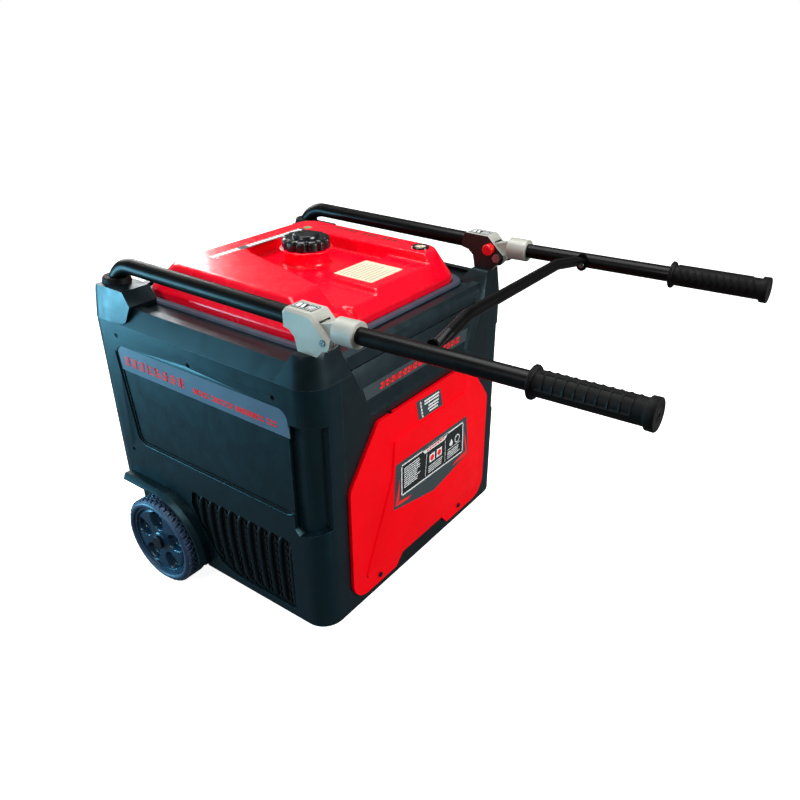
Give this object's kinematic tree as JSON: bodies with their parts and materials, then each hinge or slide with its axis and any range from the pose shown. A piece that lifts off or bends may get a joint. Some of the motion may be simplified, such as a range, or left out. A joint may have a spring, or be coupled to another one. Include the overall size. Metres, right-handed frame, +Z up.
{
  "type": "portable generator",
  "caption": "Enclosed inverter generator on two wheels, with folding barrow handles, side rails, a service door and a control panel.",
  "frame": {"origin": "centre of the bounding box's base, on the floor", "axes": "+X across the width, away from the side with the visible louvre; +Y from the grips to the wheels; +Z up"},
  "size_m": [0.6266, 1, 0.6436],
  "materials": {
    "black_plastic": "moulded, fine grain",
    "band_plastic": "satin foil",
    "red_plastic": "gloss moulding",
    "red_paint": "gloss enamel",
    "black_paint": "gloss powder coat",
    "cast_alloy": "die-cast, blasted",
    "engine_alloy": "as cast",
    "steel": "zinc plated",
    "forged_steel": "ground",
    "muffler_steel": "heat-resistant paint",
    "iron": "laminated, varnished winding",
    "brass": "turned",
    "black_rubber": "moulded",
    "grey_rubber": "moulded",
    "tyre_rubber": "moulded tread",
    "rim_plastic": "moulded",
    "cap_plastic": "moulded",
    "black_gloss": "gloss",
    "knob_red": "gloss",
    "panel_plastic": "satin",
    "cover_plastic": "satin",
    "button_green": "gloss",
    "fan_plastic": "moulded"
  },
  "bodies": {
    "generator": {"base_tray": "black_paint", "housing_left": "black_plastic", "housing_right": "black_plastic", "front_frame": "black_plastic", "rear_panel": "black_plastic", "top_cover": "black_plastic", "louvres": "black_plastic", "side_bands": "band_plastic", "panel_screws": "steel", "foot_legs": "black_paint", "front_feet": "black_rubber", "door_pins": "steel", "fuel_tank": "red_paint", "tank_seal": "grey_rubber", "fuel_gauge": "black_gloss", "rail_left": "black_paint", "rail_right": "black_paint", "rail_collars": "black_rubber", "hinge_bracket_left": "cast_alloy", "hinge_bracket_right": "cast_alloy", "hinge_bolts": "steel", "axle": "steel", "axle_brackets": "black_paint", "axle_spacers": "black_plastic", "control_panel": "panel_plastic", "ac_sockets": "black_plastic", "panel_display": "black_gloss", "earth_terminal": "brass", "engine_block": "engine_alloy", "stator": "iron", "muffler": "muffler_steel", "inverter_module": "cast_alloy", "battery": "black_gloss"},
    "handle": {"hinge_socket_left": "cast_alloy", "hinge_socket_right": "cast_alloy", "handle_tube_left": "black_paint", "handle_tube_right": "black_paint", "cross_brace": "black_paint", "brace_screws": "steel", "grip_left": "black_rubber", "grip_right": "black_rubber"},
    "door": {"service_door": "red_plastic"},
    "latch_left": {"door_latch_left": "black_plastic"},
    "latch_right": {"door_latch_right": "black_plastic"},
    "road_wheel_left": {"wheel_left": "rim_plastic", "tyre_left": "tyre_rubber"},
    "road_wheel_right": {"wheel_right": "rim_plastic", "tyre_right": "tyre_rubber"},
    "knob_left": {"lock_knob_left": "knob_red"},
    "knob_right": {"lock_knob_right": "knob_red"},
    "plug": {"cap_plug": "cap_plastic"},
    "cap": {"fuel_cap": "cap_plastic"},
    "cover_front": {"socket_cover_front": "cover_plastic"},
    "cover_rear": {"socket_cover_rear": "cover_plastic"},
    "switch": {"engine_switch": "knob_red"},
    "rocker": {"eco_rocker": "black_gloss"},
    "button": {"start_button": "button_green"},
    "crank": {"crankshaft": "forged_steel", "cooling_fan": "fan_plastic"}
  },
  "joints": [
    {"name": "handle_fold", "type": "hinge", "parent": "generator", "child": "handle", "pos_m": [0, -0.0386, 0.592], "axis": [-1, 0, 0], "range_deg": [-90, 0]},
    {"name": "door_swing", "type": "hinge", "parent": "generator", "child": "door", "pos_m": [0, -0.0342, 0.4055], "axis": [-1, 0, 0], "range_deg": [0, 60]},
    {"name": "latch_left_turn", "type": "hinge", "parent": "door", "child": "latch_left", "pos_m": [-0.14, -0.038, 0.098], "axis": [0, -1, 0], "range_deg": [0, 90]},
    {"name": "latch_right_turn", "type": "hinge", "parent": "door", "child": "latch_right", "pos_m": [0.118, -0.038, 0.098], "axis": [0, -1, 0], "range_deg": [0, 90]},
    {"name": "wheel_left_spin", "type": "hinge", "parent": "generator", "child": "road_wheel_left", "pos_m": [-0.287, 0.368, 0.089], "axis": [1, 0, 0], "continuous": true},
    {"name": "wheel_right_spin", "type": "hinge", "parent": "generator", "child": "road_wheel_right", "pos_m": [0.287, 0.368, 0.089], "axis": [1, 0, 0], "continuous": true},
    {"name": "knob_left_pull", "type": "slide", "parent": "generator", "child": "knob_left", "axis": [1, 0, 0], "range_m": [0, 0.009], "stiffness_N_per_m": 300, "springref_m": -0.005},
    {"name": "knob_right_pull", "type": "slide", "parent": "generator", "child": "knob_right", "axis": [-1, 0, 0], "range_m": [0, 0.009], "stiffness_N_per_m": 300, "springref_m": -0.005},
    {"name": "cap_lift", "type": "slide", "parent": "generator", "child": "plug", "axis": [0, 0, 1], "range_m": [0, 0.06]},
    {"name": "cap_turn", "type": "hinge", "parent": "plug", "child": "cap", "pos_m": [0.033, 0.259, 0.615], "axis": [0, 0, 1], "range_deg": [0, 110]},
    {"name": "cover_front_swing", "type": "hinge", "parent": "generator", "child": "cover_front", "pos_m": [0.2775, 0.105, 0.373], "axis": [0, -1, 0], "range_deg": [0, 110], "stiffness_Nm_per_rad": 0.02, "springref_deg": -22.92},
    {"name": "cover_rear_swing", "type": "hinge", "parent": "generator", "child": "cover_rear", "pos_m": [0.2775, 0.185, 0.373], "axis": [0, -1, 0], "range_deg": [0, 110], "stiffness_Nm_per_rad": 0.02, "springref_deg": -22.92},
    {"name": "switch_turn", "type": "hinge", "parent": "generator", "child": "switch", "pos_m": [0.2755, 0.345, 0.352], "axis": [1, 0, 0], "range_deg": [0, 90]},
    {"name": "rocker_tilt", "type": "hinge", "parent": "generator", "child": "rocker", "pos_m": [0.268, 0.3, 0.322], "axis": [0, 1, 0], "range_deg": [-6, 6]},
    {"name": "start_press", "type": "slide", "parent": "generator", "child": "button", "axis": [1, 0, 0], "range_m": [-0.003, 0], "stiffness_N_per_m": 400, "springref_m": 0.003},
    {"name": "crank_spin", "type": "hinge", "parent": "generator", "child": "crank", "pos_m": [0, 0.2, 0.19], "axis": [1, 0, 0], "continuous": true}
  ]
}
